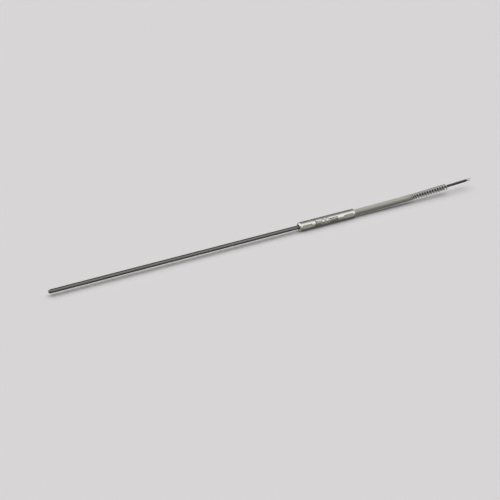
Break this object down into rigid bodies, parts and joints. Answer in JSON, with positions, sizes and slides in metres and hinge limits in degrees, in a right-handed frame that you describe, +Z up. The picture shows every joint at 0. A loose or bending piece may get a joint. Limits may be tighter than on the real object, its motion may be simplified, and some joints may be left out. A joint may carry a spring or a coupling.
{
  "type": "cable temperature probe",
  "caption": "Cable temperature probe: slim mineral-insulated sheath, crimped transition sleeve, anti-kink spring, and a thin black cable with bare leads.",
  "frame": {"origin": "middle of the transition sleeve, on its axis", "axes": "+X along the probe from the sheath's tip towards the cable, +Z up when the probe lies on a table"},
  "size_m": [0.3673, 0.007, 0.0082],
  "materials": {
    "drawn_sheath_steel": "bright-drawn stainless steel, slightly darkened by annealing",
    "turned_sleeve_steel": "turned and polished stainless steel with laser-etched marks",
    "spring_steel_wire": "drawn stainless spring wire, satin",
    "bush_steel": "turned stainless steel, as machined",
    "silver_braze": "silver brazing alloy, as flowed",
    "pressed_magnesia": "pressed magnesium oxide powder, chalky",
    "junction_weld": "fused nickel alloy bead",
    "nickel_chromium_wire": "bright drawn nickel-chromium wire",
    "nickel_aluminium_wire": "bright drawn nickel-aluminium wire",
    "seal_resin": "hard glossy sealing resin",
    "potting_resin": "black epoxy potting",
    "ferrule_copper": "tinned copper",
    "splice_tubing_plastic": "translucent fluoropolymer tube",
    "jacket_plastic": "black extruded cable jacket, satin",
    "core_plastic_positive": "mid grey fluoropolymer insulation",
    "core_plastic_negative": "light grey fluoropolymer insulation",
    "tinned_strand": "tinned stranded wire"
  },
  "bodies": {
    "root": {"sheath_tube": "drawn_sheath_steel", "end_cap": "drawn_sheath_steel", "magnesia_fill": "pressed_magnesia", "measuring_junction": "junction_weld", "sheath_end_seal": "seal_resin", "transition_sleeve": "turned_sleeve_steel", "front_bush": "bush_steel", "braze_fillet": "silver_braze", "support_ferrule": "bush_steel", "potting_compound": "potting_resin", "anti_kink_spring": "spring_steel_wire", "cable_jacket": "jacket_plastic", "thermocouple_wire_positive": "nickel_chromium_wire", "thermocouple_wire_negative": "nickel_aluminium_wire", "splice_ferrule_positive": "ferrule_copper", "splice_tubing_positive": "splice_tubing_plastic", "core_insulation_positive": "core_plastic_positive", "strand_positive": "tinned_strand", "splice_ferrule_negative": "ferrule_copper", "splice_tubing_negative": "splice_tubing_plastic", "core_insulation_negative": "core_plastic_negative", "strand_negative": "tinned_strand"}
  },
  "joints": []
}
